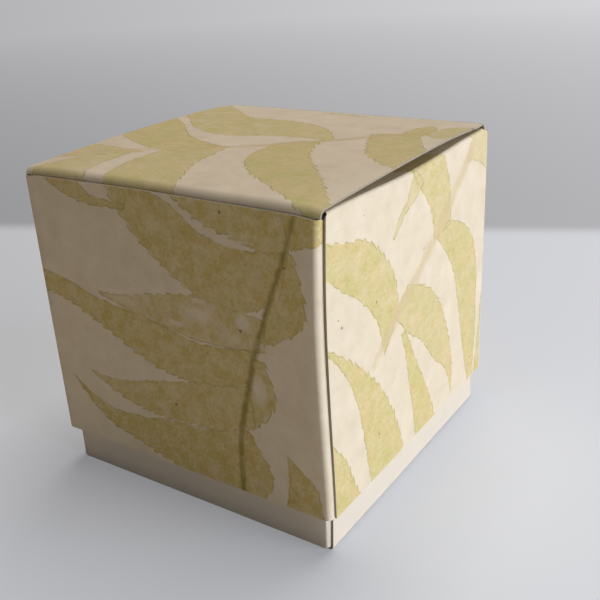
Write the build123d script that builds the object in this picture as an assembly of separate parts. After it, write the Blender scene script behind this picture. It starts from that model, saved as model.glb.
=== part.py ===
"""Two-part gift box of folded handmade card: a tuck-top printed cover over a plain inner base.

Millimetres. The origin is on the floor, under the middle of the box, with +Z up.
The front wall faces -Y, the wall with the glued seam faces +X and the top flap hinges on the +Y wall.
"""

import os
from math import atan2, cos, degrees, radians, sin, sqrt, tan

from build123d import *

# Driving sizes
cover_width = 90.0
cover_depth = 90.0
panel_height = 87.8
reveal_height = 10.7
card = 0.5

# Folds, outer radii
corner_radius = 1.3
dust_fold_radius = 1.0
hinge_radius = 1.8
shoulder_radius = 8.0
bead_radius = 2.0
tray_fold_radius = 0.9

# Clearances
glue_gap = 0.1
stack_gap = 0.8
seat_gap = 0.05
crease_gap = 0.06
tuck_clearance = 0.15
flap_relief = 0.4
cut_overrun = 1.0

# Cover sheet
front_edge_drop = 1.2
front_edge_crown = 0.4
front_edge_slope_run = 4.0
seam_setback = 2.0
glue_flap_width = 15.0
glue_flap_slope_drop = 7.0
dust_flap_length = 22.0
dust_flap_taper = 5.0
dust_flap_droop = 4
dust_flap_notch = 1.6

# Top flap
panel_inset = 0.3
hinge_slant_run = 5.0
panel_bow = 1.2
bow_crest_share = 0.62
shoulder_turn = 18
tuck_drop = 9.0
tuck_corner_radius = 3.0
nick_from_hinge = 9.0
nick_width = 1.1
nick_depth = 0.8

# Base sheet
tray_seam_setback = 1.6
tray_seam_foot = 0.9
tray_tab_width = 14.0
tray_tab_slope_drop = 3.0

# Places of the cover's walls and folds
half_width = cover_width / 2
half_depth = cover_depth / 2
seam_plane = half_width - card - glue_gap
hinge_y = half_depth - hinge_radius
dust_top = panel_height - card - stack_gap
dust_fold_start = dust_top - dust_fold_radius
droop = radians(dust_flap_droop)
hinge_fold_start = panel_height - hinge_radius
front_edge = panel_height - front_edge_drop
ring_top = min(front_edge - front_edge_crown, dust_fold_start, hinge_fold_start)
panel_half = half_width - panel_inset
hinge_half = half_width - corner_radius

# The tuck flap leans in so that its tip swings up clear of the front wall
tuck_plane = -half_depth + card + tuck_clearance
tuck_reach = hinge_y - tuck_plane
tuck_lean = tuck_reach - sqrt(tuck_reach**2 - tuck_drop**2)
tuck_lean_angle = degrees(atan2(tuck_lean, tuck_drop - bead_radius))
tuck_half = seam_plane - corner_radius - tuck_clearance

# The panel bows up from its front shoulder to a crest and down again to the crease
crease_y = hinge_y - crease_gap
bow_run = bow_crest_share * (crease_y - tuck_plane)
bow_slope = degrees(2 * atan2(panel_bow, bow_run))
bead_slope = bow_slope + shoulder_turn
bead_run = bead_radius * (1 - sin(radians(bead_slope)))
shoulder_run = shoulder_radius * (sin(radians(bead_slope)) - sin(radians(bow_slope)))
shoulder_y = tuck_plane + bead_run + shoulder_run
crest_y = shoulder_y + bow_run

# Places of the base's walls, which leave room for the tuck flap all round
base_inset = card + tuck_clearance + tuck_lean + card + tuck_clearance
tray_half_width = half_width - base_inset
tray_half_depth = half_depth - base_inset
tray_tab_plane = tray_half_width - card - glue_gap

# The base's rim stops just under the drooping dust flaps
dust_fold_end = half_width - dust_fold_radius * (1 + sin(droop))
dust_fold_level = dust_fold_start + dust_fold_radius * cos(droop)
droop_over_rim = (dust_fold_end - tray_tab_plane + card) * tan(droop)
rim_height = dust_fold_level - droop_over_rim - card / cos(droop) - seat_gap


def folded(outer_line, side):
    """Section of a sheet whose outer face follows a line, with the card's thickness behind it."""
    return make_face(offset(outer_line, amount=card, side=side).edges())


def run_along_x(section, start, end):
    """Extrude a section drawn in Y and Z from one place on X to another."""
    return extrude(Plane.YZ.offset(start) * section, amount=end - start)


def run_along_y(section, start, end):
    """Extrude a section drawn in X and Z from one place on Y to another."""
    return extrude(Plane.XZ.offset(-end) * section, amount=end - start)


def run_up(section, start, end):
    """Extrude a plan section from one height to another."""
    return extrude(Plane.XY.offset(start) * section, amount=end - start)


def cover_ring():
    """Four walls and the glue flap, one strip of card folded round the box and left open at the seam."""
    front_line = FilletPolyline(
        (seam_plane, -half_depth + glue_flap_width),
        (seam_plane, -half_depth),
        (-half_width, -half_depth),
        (-half_width, 0),
        radius=corner_radius,
    )
    back_line = FilletPolyline(
        (-half_width, 0),
        (-half_width, half_depth),
        (half_width, half_depth),
        (half_width, -half_depth + seam_setback),
        radius=corner_radius,
    )
    section = folded(front_line, Side.RIGHT) + folded(back_line, Side.RIGHT)
    return run_up(section, reveal_height, ring_top)


def glue_flap_slopes():
    """Wedges that slant the glue flap's two ends, cut clear of the wall in front of it."""
    fold_end = -half_depth + corner_radius
    flap_end = -half_depth + glue_flap_width + cut_overrun
    inner = seam_plane - card - cut_overrun
    outer = seam_plane + glue_gap / 2
    wedges = []
    for level, drop in ((ring_top, -glue_flap_slope_drop), (reveal_height, glue_flap_slope_drop)):
        wedge = Polyline((fold_end, level), (flap_end, level), (flap_end, level + drop), close=True)
        wedges.append(run_along_x(make_face(wedge), inner, outer))
    return wedges


def front_edge_strip():
    """Top of the front wall: a cut edge that slopes up from both corners and crowns in the middle."""
    left = -half_width + corner_radius
    right = seam_plane - corner_radius
    rise_start = left + front_edge_slope_run
    rise_end = right - front_edge_slope_run
    low = ring_top - card
    shoulder = front_edge - front_edge_crown
    crown = ThreePointArc((rise_start, shoulder), ((left + right) / 2, front_edge), (rise_end, shoulder))
    foot = Polyline(
        (rise_end, shoulder),
        (right, ring_top),
        (right, low),
        (left, low),
        (left, ring_top),
        (rise_start, shoulder),
    )
    return run_along_y(make_face([*crown.edges(), *foot.edges()]), -half_depth, -half_depth + card)


def dust_flap():
    """Top of the right wall, bent inwards over the base's rim, drooping and tapered to its free edge."""
    wall = Line((half_width, ring_top - card), (half_width, dust_fold_start))
    bend = JernArc(start=wall @ 1, tangent=wall % 1, radius=dust_fold_radius, arc_size=90 + dust_flap_droop)
    tail = PolarLine(bend @ 1, dust_flap_length, direction=bend % 1)
    front = -half_depth + seam_setback
    back = half_depth - corner_radius - flap_relief
    flap = run_along_y(folded(Wire([wall, bend, tail]), Side.LEFT), front, back)
    clear_of_bead = shoulder_y + tuck_clearance
    free_end = (tail @ 1).X - card
    lowest = (tail @ 1).Y - card
    outline = Polyline(
        (half_width, front),
        (panel_half, clear_of_bead),
        (free_end, clear_of_bead + dust_flap_taper),
        (free_end, back - dust_flap_taper),
        (panel_half, back - dust_flap_notch),
        (half_width, back),
        close=True,
    )
    return flap & run_up(make_face(outline), lowest, panel_height)


def hinge_fold():
    """Top of the back wall, bent forwards to the crease on which the top flap swings."""
    wall = Line((half_depth, ring_top - card), (half_depth, hinge_fold_start))
    bend = JernArc(start=wall @ 1, tangent=wall % 1, radius=hinge_radius, arc_size=90)
    return run_along_x(folded(Wire([wall, bend]), Side.LEFT), -hinge_half, hinge_half)


def make_cover():
    """The printed sleeve, without its top flap."""
    flap = dust_flap()
    sleeve = cover_ring() + front_edge_strip() + flap + mirror(flap, about=Plane.YZ) + hinge_fold()
    return sleeve - glue_flap_slopes()


def panel_line():
    """Upper face of the top flap: bowed panel, soft shoulder, rounded bead and leaning tuck."""
    crest = (crest_y, panel_height + panel_bow)
    back_bow = TangentArc(crest, (crease_y, panel_height), tangent=(1, 0))
    front_bow = TangentArc(crest, (shoulder_y, panel_height), tangent=(-1, 0))
    shoulder = JernArc(front_bow @ 1, front_bow % 1, shoulder_radius, shoulder_turn)
    bead = JernArc(shoulder @ 1, shoulder % 1, bead_radius, 90 + tuck_lean_angle - bead_slope)
    tip_run = (tuck_drop - (panel_height - (bead @ 1).Y)) / cos(radians(tuck_lean_angle))
    tuck = PolarLine(bead @ 1, tip_run, direction=bead % 1)
    return Wire([back_bow, front_bow, shoulder, bead, tuck])


def tuck_trim():
    """Blocks that narrow the tuck flap and round its two free corners."""
    top = ring_top + tuck_clearance
    tip = panel_height - tuck_drop
    outside = panel_half + cut_overrun
    below = tip - cut_overrun
    corner = tuck_half - tuck_corner_radius
    outline = Polyline((tuck_half, top), (outside, top), (outside, below), (corner, below), (corner, tip))
    rounding = JernArc(outline @ 1, (1, 0), tuck_corner_radius, 90)
    side = Line(rounding @ 1, outline @ 0)
    block = run_along_y(make_face([*outline.edges(), rounding, side]), -half_depth, shoulder_y)
    return [block, mirror(block, about=Plane.YZ)]


def panel_cut(*outline):
    """Cutter through the whole height of the bowed panel, from its plan outline."""
    return run_up(make_face(Polyline(*outline, close=True)), dust_top, panel_height + panel_bow + cut_overrun)


def hinge_slants():
    """Cuts that run the panel's two side edges in to the ends of the hinge crease."""
    slant = panel_cut((panel_half, hinge_y - hinge_slant_run), (panel_half, hinge_y), (hinge_half, hinge_y))
    return [slant, mirror(slant, about=Plane.YZ)]


def panel_nick():
    """Small tear in the right edge of the panel, near the hinge."""
    middle = hinge_y - nick_from_hinge
    return panel_cut(
        (panel_half, middle - nick_width / 2),
        (panel_half - nick_depth, middle),
        (panel_half, middle + nick_width / 2),
    )


def make_top_flap():
    """Top panel with its bead and tuck flap."""
    flap = run_along_x(folded(panel_line(), Side.RIGHT), -panel_half, panel_half)
    return flap - tuck_trim() - hinge_slants() - panel_nick()


def tray_front_and_back():
    """Front wall, bottom and back wall of the base, one strip with rounded folds."""
    line = FilletPolyline(
        (-tray_half_depth, rim_height),
        (-tray_half_depth, 0),
        (tray_half_depth, 0),
        (tray_half_depth, rim_height),
        radius=tray_fold_radius,
    )
    half = tray_tab_plane - corner_radius
    return run_along_x(folded(line, Side.LEFT), -half, half)


def tray_sides():
    """Left wall, bottom and right wall of the base, with cut edges that run in to the bottom corners."""
    line = FilletPolyline(
        (-tray_half_width, rim_height),
        (-tray_half_width, 0),
        (tray_half_width, 0),
        (tray_half_width, rim_height),
        radius=tray_fold_radius,
    )
    foot = tray_half_depth - tray_seam_foot
    edge = tray_half_depth - tray_seam_setback
    outline = Polyline(
        (-foot, 0),
        (foot, 0),
        (edge, reveal_height),
        (edge, rim_height),
        (-edge, rim_height),
        (-edge, reveal_height),
        close=True,
    )
    walls = run_along_y(folded(line, Side.LEFT), -foot, foot)
    return walls & run_along_x(make_face(outline), -tray_half_width, tray_half_width)


def tray_tab():
    """Corner tab of the base: the front wall goes on round the near corner, behind the right wall."""
    line = FilletPolyline(
        (tray_tab_plane - corner_radius - card, -tray_half_depth),
        (tray_tab_plane, -tray_half_depth),
        (tray_tab_plane, -tray_half_depth + tray_tab_width),
        radius=corner_radius,
    )
    tab = run_up(folded(line, Side.LEFT), tray_fold_radius, rim_height)
    fold_end = -tray_half_depth + corner_radius
    tab_end = -tray_half_depth + tray_tab_width + cut_overrun
    for level, drop in ((rim_height, -tray_tab_slope_drop), (tray_fold_radius, tray_tab_slope_drop)):
        wedge = Polyline((fold_end, level), (tab_end, level), (tab_end, level + drop), close=True)
        tab -= run_along_x(make_face(wedge), tray_tab_plane - card - cut_overrun, tray_tab_plane + cut_overrun)
    return tab


def make_base():
    """The plain inner box."""
    near_tab = tray_tab()
    right_tabs = near_tab + mirror(near_tab, about=Plane.XZ)
    return tray_front_and_back() + tray_sides() + right_tabs + mirror(right_tabs, about=Plane.YZ)


os.makedirs("parts", exist_ok=True)
for name, make in (("base", make_base), ("cover", make_cover), ("top_flap", make_top_flap)):
    export_step(make(), f"parts/{name}.step")
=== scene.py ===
"""Looks of a gift box of folded handmade card: a leaf-printed tuck-top cover over a plain base."""

from math import asin, atan2, cos, pi, radians, sin, sqrt

import bmesh
import bpy
from mathutils import Matrix, Vector, noise


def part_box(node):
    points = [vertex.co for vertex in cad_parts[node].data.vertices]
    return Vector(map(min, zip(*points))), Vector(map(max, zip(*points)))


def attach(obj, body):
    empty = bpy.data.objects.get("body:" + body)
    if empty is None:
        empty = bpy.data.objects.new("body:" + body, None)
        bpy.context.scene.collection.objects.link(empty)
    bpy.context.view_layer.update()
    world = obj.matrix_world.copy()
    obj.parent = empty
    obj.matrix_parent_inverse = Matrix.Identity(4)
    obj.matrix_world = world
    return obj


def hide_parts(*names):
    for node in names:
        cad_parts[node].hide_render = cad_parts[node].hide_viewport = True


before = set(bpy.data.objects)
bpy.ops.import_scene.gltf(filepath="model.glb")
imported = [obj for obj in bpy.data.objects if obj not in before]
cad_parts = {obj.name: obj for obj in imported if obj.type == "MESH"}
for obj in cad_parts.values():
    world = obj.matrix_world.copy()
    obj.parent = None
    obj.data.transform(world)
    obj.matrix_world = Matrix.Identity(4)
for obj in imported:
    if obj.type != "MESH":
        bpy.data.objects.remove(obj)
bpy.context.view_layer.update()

bl_info = {
    "name": "Leaf-printed gift box",
    "version": (1, 0, 0),
    "blender": (4, 5, 0),
    "location": "View3D > Sidebar > Gift Box",
    "description": "Folds a two-part gift box of handmade card and prints it with leaves",
    "category": "Object",
}

COVER_LOW, COVER_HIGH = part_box("cover")
FLAP_LOW, FLAP_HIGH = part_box("top_flap")
BASE_LOW, BASE_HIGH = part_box("base")

MM = 0.001
QUARTER = pi / 2
BLANK = "blank"
WAVE_SEED = 7
KNOTS = (0.0, 0.2, 0.4, 0.6, 0.8, 1.0)

# Prints, in millimetres on the wall. A leaflet has the line from its stalk end to its tip, points given
# along its two edges, most of them read off, and how it printed: density, the saw teeth of its two edges,
# and how broken it is. A bare place has its middle and its two half widths, and a speck has its middle and
# its radius.
FRONT_PRINT = {
    "leaves": (
        (
            ((36, 74), (-19, 90)),
            ((37, 78), (25, 76.2), (20, 76), (12, 78.8), (3, 84.5), (-19, 90)),
            ((33, 65.5), (25, 60.2), (18, 59.8), (8, 62.7), (0, 67.6), (-9, 74.9), (-12, 78.6), (-19, 90)),
            (0.95, 0.0, 0.9, 0.3),
        ),
        (
            ((-10, 81), (-39, 86.5)),
            ((-10, 82.2), (-15, 82.4), (-20, 82.9), (-24, 84), (-26, 87), (-31, 89), (-39, 86.5)),
            ((-10, 80.5), (-18, 80.3), (-25, 80.5), (-30, 81.5), (-34, 83.5), (-39, 86.5)),
            (0.9, 0.2, 0.5, 0.1),
        ),
        (
            ((38, 82), (1, 89)),
            ((38, 90), (25, 92), (10, 92), (1, 89)),
            ((36.9, 76.2), (30, 75.6), (25, 77), (19, 78.8), (14, 79.8), (10, 81.4), (6, 84), (1, 89)),
            (0.95, 0.0, 0.9, 0.4),
        ),
        (
            ((36.8, 80), (53, 85)),
            ((37, 77.3), (43, 79.3), (53, 83)),
            ((34.6, 87.7), (46, 90), (53, 90.2)),
            (1.0, 0.3, 0.0, 0.1),
        ),
        (
            ((36, 77.5), (29.5, 54)),
            ((35.5, 77.5), (34.2, 73), (31, 67), (28.5, 60), (27, 54.5)),
            ((38.5, 77), (40.8, 70), (41.5, 66), (41.5, 62.3), (40.2, 59.8), (37.6, 57.8), (29.5, 54)),
            (1.0, 0.0, 0.9, 0.25),
        ),
        (
            ((29, 55), (-23.5, 57.5)),
            ((29, 61), (18, 61.7), (5, 63.1), (0, 61.8), (-5, 60.5), (-13, 58.8), (-23.5, 57.7)),
            ((29, 52), (18, 50.7), (8, 50.6), (0, 51.9), (-10, 53.4), (-15, 54.1), (-23.5, 57)),
            (0.85, 0.5, 0.0, 0.8),
        ),
        (
            ((25, 49), (-53, 58)),
            ((24, 52.5), (10, 50), (0, 52.5), (-10, 53.6), (-28, 56), (-38, 59.6), (-53, 61)),
            ((24, 42), (10, 38.3), (0, 36.8), (-8, 39.8), (-20, 44.8), (-30, 50.9), (-38, 52.4), (-53, 54)),
            (0.95, 0.0, 0.9, 0.25),
        ),
        (
            ((24, 36), (-32, 33)),
            ((24, 42.5), (13, 40.1), (0, 37.5), (-7, 36.2), (-15, 33.7), (-20, 32.6), (-32, 32.9)),
            ((24, 30.8), (13, 26), (0, 24.8), (-10, 24.7), (-20, 26.7), (-25, 28.7), (-32, 32.6)),
            (0.95, 0.5, 0.8, 0.45),
        ),
        (
            ((20.5, 20), (-39, 29.7)),
            ((21.5, 30.2), (9, 26), (-5, 24.9), (-15, 22.9), (-25, 22.9), (-33, 24.6), (-39, 29.9)),
            ((18.7, 8.6), (7, 8.9), (-5, 11), (-15, 13.5), (-25, 16.6), (-30, 19), (-33, 21.5), (-39, 29.5)),
            (1.0, 0.2, 0.8, 0.12),
        ),
        (
            ((20.5, 29), (23, 6)),
            ((19.3, 29), (18.6, 24), (18, 15), (18, 6)),
            ((22.5, 29), (26, 24), (28.8, 19), (29, 16), (27, 12.5), (25, 6)),
            (1.0, 0.0, 0.8, 0.2),
        ),
        (
            ((25, 50), (22, 30)),
            ((24.3, 50), (22.6, 40), (20.9, 30)),
            ((28.7, 50), (31.4, 41), (30.4, 36), (27.4, 32.9), (23.2, 30)),
            (0.95, 0.0, 0.9, 0.4),
        ),
        (
            ((37, 6), (32.8, 25.7)),
            ((43, 8), (42.6, 14), (41.7, 18.7), (39, 21.6), (33.3, 25.5)),
            ((31.8, 8), (32, 11), (32.7, 15), (33.2, 20), (32.8, 25.7)),
            (0.95, 0.3, 0.0, 0.1),
        ),
    ),
    "stalk": (
        ((40.2, 89), (18.5, 9)),
        ((38.6, 89), (36.1, 80), (31.3, 70), (28.4, 63), (25.4, 54), (23.1, 47), (18.2, 28), (17.6, 9)),
        ((41.1, 89), (38.9, 80), (33.9, 70), (31.2, 63), (28.2, 54), (25.9, 47), (21, 28), (20.4, 9)),
    ),
    "stalk_print": {"Tone": 0.8, "Broken": 0.6, "Soft": 1.3},
    "bare": (
        (26.3, 41.2, 2.3, 4.5),
        (23, 58.3, 2.4, 2.2),
        (10, 58, 4, 2),
        (10.5, 61.4, 2.2, 0.8),
        (2.5, 54, 2.5, 0.9),
        (5, 25.3, 4, 0.5),
        (-3.5, 24.6, 1.6, 0.4),
    ),
    "specks": ((35.4, 74, 0.5), (22.2, 56.2, 0.6), (19, 83.8, 0.5), (-1, 30.2, 0.4), (25.5, 31.5, 0.4)),
}
RIGHT_PRINT = {
    "leaves": (
        (
            ((-14.5, 47), (-49, 78)),
            ((-10, 50), (-10.3, 55), (-11.5, 61.4), (-14.1, 66.4), (-19.1, 71.4), (-24.4, 75.8), (-49, 82)),
            ((-18.5, 43), (-20.5, 50), (-22.5, 55.3), (-27, 59.8), (-42, 70.8), (-49, 76)),
            (1.0, 0.8, 0.2, 0.25),
        ),
        (
            ((-17, 6), (-44.5, 55.5)),
            ((-6.5, 7.5), (-10.3, 19.3), (-15.4, 29.4), (-21.4, 37.5), (-28, 44.3), (-36, 51), (-43.5, 55.3)),
            ((-27, 10), (-27, 16), (-29, 24), (-32, 36), (-35.5, 44), (-41, 52), (-44.5, 55)),
            (1.0, 0.8, 0.4, 0.1),
        ),
        (
            ((-41, 6), (-44.7, 32)),
            ((-30, 7.5), (-32, 12.5), (-34.1, 17), (-35.9, 21.5), (-38.4, 26.5), (-44.2, 31.5)),
            ((-51, 6), (-50, 14), (-48, 23), (-44.7, 32)),
            (1.0, 0.8, 0.4, 0.1),
        ),
        (
            ((5, 6), (-8, 45.5)),
            ((13, 7.5), (10.2, 14.5), (6.5, 22.5), (2.2, 30), (-3.5, 40), (-6.7, 45)),
            ((-0.2, 6), (-1.5, 11), (-2.5, 19), (-5, 28), (-7, 38), (-9.2, 45)),
            (1.0, 0.6, 0.4, 0.1),
        ),
        (
            ((-9, 55), (21.8, 11.5)),
            ((-12, 50), (-9, 46), (0, 41), (13, 26), (18, 22), (21.5, 13)),
            ((-6, 57.5), (4, 55), (8, 51.3), (14, 45.4), (18.3, 38), (21.2, 29), (23.9, 20), (22.2, 12)),
            (0.9, 0.0, 0.6, 0.25),
        ),
        (
            ((13, 65), (37.5, 6)),
            ((11, 64), (18, 58), (22, 51), (26, 41), (28.5, 30), (31, 21), (36, 6)),
            ((15, 67), (23, 67.7), (29.3, 65.4), (34, 59), (38.5, 52), (39.9, 33), (39.5, 19), (38.5, 6)),
            (0.95, 0.0, 0.4, 0.25),
        ),
        (
            ((42, 6), (45.5, 43)),
            ((50, 6), (50, 28), (47, 42)),
            ((39.3, 8), (40, 16), (42.5, 28), (43, 35), (45, 42)),
            (0.95, 0.2, 0.2, 0.2),
        ),
        (
            ((10.5, 64), (5, 96)),
            ((20, 66), (20, 70), (19.9, 74.5), (18.3, 81), (15, 87), (13, 96)),
            ((9, 66), (8.5, 70), (7, 74), (2, 80.5), (-3, 85), (-6, 96)),
            (0.9, 0.4, 0.0, 0.35),
        ),
        (
            ((5, 95.5), (0, 118)),
            ((13, 96), (11, 105), (6, 113), (0, 118)),
            ((-6, 95.5), (-5.5, 103), (-4, 111), (0, 118)),
            (0.9, 0.4, 0.0, 0.35),
        ),
        (
            ((1, 85), (-13.3, 71.8)),
            ((-3, 86), (-5.5, 80.5), (-11, 75.8), (-13.2, 72.8)),
            ((2.5, 81.5), (-3, 78.2), (-7, 76.2), (-12.5, 71.5)),
            (0.75, 0.1, 0.0, 0.35),
        ),
        (
            ((30, 80.5), (52, 78)),
            ((30, 80), (35, 79.5), (40, 77.3), (45, 74.2), (52, 71)),
            ((30.3, 82), (31.2, 84), (32, 87), (40, 92), (52, 92)),
            (0.65, 0.0, 0.3, 0.4),
        ),
    ),
    "stalk": (
        ((36, 86), (-25, 41.5)),
        ((34, 86.5), (25, 80.3), (16, 72), (6, 66), (-2, 60), (-12, 56), (-15, 52), (-25, 43.5)),
        ((38, 84), (29, 75.7), (20, 68), (10, 62), (2, 56), (-8, 52.5), (-11, 48), (-23, 41)),
    ),
    "stalk_print": {"Tone": 0.7, "Broken": 0.6, "Soft": 2.2},
    "bare": (),
    "specks": (
        (-37, 58.5, 0.5),
        (-38.5, 60.8, 0.35),
        (-22, 59, 0.4),
        (-21.5, 22.5, 0.4),
        (36, 18, 0.45),
        (3.5, 64, 0.4),
    ),
}
TOP_PRINT = {
    "leaves": (
        (
            ((16, 5.5), (-50, 31)),
            ((17, 8), (12, 13), (5, 20.5), (-5, 24), (-15, 24.2), (-20, 23), (-30, 30), (-50, 46)),
            ((16, 5), (10, 6.3), (0, 5), (-10, 3), (-15, 0.3), (-25, 0.7), (-30, 6), (-50, 24)),
            (0.95, 0.5, 0.3, 0.45),
        ),
        (
            ((-9, -12), (-50, 7)),
            ((-5, -10), (-15, -7.8), (-22, -4.7), (-28, 0.3), (-36, 9), (-50, 18)),
            ((-12, -19), (-20, -20), (-30, -17.2), (-40, -12.3), (-50, -6)),
            (1.0, 0.2, 0.3, 0.15),
        ),
        (
            ((-7, -10), (-3, -50)),
            ((-14, -10), (-19, -16), (-21, -26), (-20, -35), (-16, -50)),
            ((-4, -10), (-3.3, -18), (-3.8, -22), (-0.8, -30), (5, -42), (8, -50)),
            (0.95, 0.3, 0.7, 0.2),
        ),
        (
            ((11, 3), (51, -49)),
            ((4.5, 2), (4.2, -5), (4.4, -10), (6.5, -20.3), (12, -26.3), (30, -39.3), (48, -51)),
            ((17, 4), (18.7, -5), (20.2, -10), (31.3, -22), (43.3, -37.5), (52, -49)),
            (1.0, 0.8, 0.9, 0.15),
        ),
        (
            ((31, 20), (48, -13)),
            ((24, 13), (27, 5), (30, 0), (33, -5), (36, -8), (40, -10.5), (48, -14)),
            ((36, 21), (39, 14), (42, 9), (45, 6), (48, 0)),
            (0.95, 0.8, 0.2, 0.15),
        ),
        (
            ((34.5, 18), (34, 32)),
            ((37.5, 19), (37.4, 27), (36.6, 29.5), (34.5, 32)),
            ((30.5, 21), (30.5, 27), (31.6, 29.5), (33.5, 32)),
            (1.0, 0.2, 0.2, 0.3),
        ),
        (
            ((37, 21), (48, 31)),
            ((38, 17), (43, 17.5), (47, 23), (48, 29)),
            ((37, 28), (40, 33), (45, 35)),
            (0.8, 0.2, 0.2, 0.4),
        ),
        (
            ((-24, -22.5), (-50, -27)),
            ((-24.5, -21.8), (-33, -21.3), (-40, -20.5), (-50, -19)),
            ((-25, -24), (-31, -28), (-37, -32), (-42, -34), (-50, -35)),
            (0.85, 0.1, 0.2, 0.3),
        ),
        (
            ((-27, -23.5), (-31, -51)),
            ((-29, -23.5), (-33, -28), (-37.5, -33), (-41, -38.5), (-42.5, -43.5), (-41.5, -49.5)),
            ((-26, -24), (-26, -30), (-25.9, -35), (-25, -40), (-21, -51)),
            (0.85, 0.1, 0.2, 0.3),
        ),
        (
            ((-9, 40.2), (10, 39.4)),
            ((-9, 40.2), (-5, 39.2), (1, 38.6), (6, 38.9), (10, 39.4)),
            ((-9, 40.2), (-5, 41), (1, 41.3), (6, 40.5), (10, 39.4)),
            (0.6, 0.0, 0.0, 0.2),
        ),
    ),
    "stalk": (
        ((37, 24), (-47, -36)),
        ((35, 25.5), (25, 16.3), (18, 8.8), (0, -5), (-10, -11.5), (-30, -20.5), (-35, -25), (-47, -33)),
        ((36, 20.5), (26, 11.8), (19, 4.2), (1, -9), (-10, -15.5), (-30, -24.5), (-40, -32), (-47, -37)),
    ),
    "stalk_print": {"Tone": 0.75, "Broken": 0.5, "Soft": 2.0},
    "bare": ((-38, 17, 3.5, 2.2), (-33, 8, 2.4, 2.2), (-27, 3, 3.2, 2), (-17, 6, 2.8, 2), (-44, 22, 2.6, 4)),
    "specks": ((-20.8, -18, 1.1), (-19, -18.6, 0.6), (37.8, 16, 0.5)),
}


def linear(code):
    """Linear colour from an sRGB hex code."""
    shares = [int(code[i : i + 2], 16) / 255 for i in (0, 2, 4)]
    return tuple(c / 12.92 if c <= 0.04045 else ((c + 0.055) / 1.055) ** 2.4 for c in shares)


def length(name, description, default):
    """A length that a user can change, in metres."""
    return bpy.props.FloatProperty(
        name=name, description=description, default=default, min=0.0, precision=5, unit="LENGTH"
    )


def colour(name, description, code):
    """A colour that a user can change."""
    return bpy.props.FloatVectorProperty(
        name=name, description=description, default=linear(code), min=0.0, max=1.0, size=3, subtype="COLOR"
    )


class GiftBoxSizes(bpy.types.PropertyGroup):
    """Sizes of the folded card."""

    card: length("Card", "Thickness of the card", 0.5 * MM)
    corner_radius: length("Corner fold", "Outer radius of the cover's upright folds", 1.3 * MM)
    base_corner_radius: length("Base corner fold", "Outer radius of the base's upright folds", 1.0 * MM)
    hinge_radius: length("Hinge fold", "Outer radius of the fold at the back of the top", 1.8 * MM)
    dust_fold_radius: length("Dust flap fold", "Outer radius of the fold over the side walls", 1.0 * MM)
    shoulder_radius: length("Shoulder", "Radius of the soft shoulder behind the bead", 8.0 * MM)
    shoulder_turn: bpy.props.FloatProperty(
        name="Shoulder turn", description="How far the shoulder bends", default=radians(4), subtype="ANGLE"
    )
    bead_radius: length("Bead", "Radius of the rolled front edge of the top", 2.0 * MM)
    bead_lift: length("Bead lift", "How far the tuck flap holds the rolled front edge up", 0.7 * MM)
    base_fold_radius: length("Base fold", "Outer radius of the folds round the bottom", 0.9 * MM)
    glue_gap: length("Glue gap", "Gap between glued layers of card", 0.1 * MM)
    stack_gap: length("Stack gap", "Gap between the top flap's ends and the dust flaps", 0.5 * MM)
    tuck_clearance: length("Tuck clearance", "Running gap in front of the tuck flap", 0.15 * MM)
    flap_relief: length("Flap relief", "Gap between a dust flap and the back corner", 0.4 * MM)
    seam_setback: length("Seam setback", "How far the seam stands back from the near corner", 2.0 * MM)
    glue_flap: length("Glue flap", "Width of the cover's glue flap", 15.0 * MM)
    glue_flap_slope: length("Glue flap slope", "Drop of the glue flap's slanted ends", 6.5 * MM)
    dust_flap: length("Dust flap", "Length of the dust flaps behind their fold", 22.0 * MM)
    dust_flap_taper: length("Dust flap taper", "How far each end of a dust flap runs in", 5.0 * MM)
    dust_flap_droop: bpy.props.FloatProperty(
        name="Dust flap droop", description="How far the dust flaps hang", default=radians(4), subtype="ANGLE"
    )
    dust_flap_notch: length("Dust flap notch", "Step at the back end of a dust flap's fold", 1.6 * MM)
    front_edge_drop: length("Front edge", "Drop of the front wall's cut edge below the top", 1.2 * MM)
    front_edge_crown: length("Front edge crown", "Crown of the front wall's cut edge", 0.4 * MM)
    front_edge_slope: length("Front edge slope", "Run over which the cut edge rises at the corners", 4.0 * MM)
    tuck_corner: length("Tuck corner", "Radius of the tuck flap's corners", 3.0 * MM)
    hinge_slant: length("Hinge slant", "Length over which the top's sides run in to the hinge", 5.0 * MM)
    nick_from_hinge: length("Nick place", "Distance of the torn nick from the hinge", 9.0 * MM)
    nick_width: length("Nick width", "Width of the torn nick", 1.1 * MM)
    nick_depth: length("Nick depth", "Depth of the torn nick", 0.8 * MM)
    base_tab: length("Base tab", "Width of the base's corner tabs", 14.0 * MM)
    base_tab_slope: length("Base tab slope", "Drop of the base tabs' slanted ends", 3.0 * MM)
    base_seam_setback: length("Base seam", "How far the base's walls stand back from the corners", 1.6 * MM)
    waviness: length("Waviness", "How far the dried card has cockled", 0.09 * MM)
    seam_gape: length("Seam gape", "How far the top of the glued seam stands open", 0.2 * MM)
    wall_sag: length("Wall sag", "How far the tops of the side walls dip in the middle", 1.1 * MM)
    corner_bend: length("Corner bend", "How far the near corner is pressed in", 0.6 * MM)
    base_corner_bend: length("Base corner bend", "How far the base's near corner is pressed in", 0.1 * MM)


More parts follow.
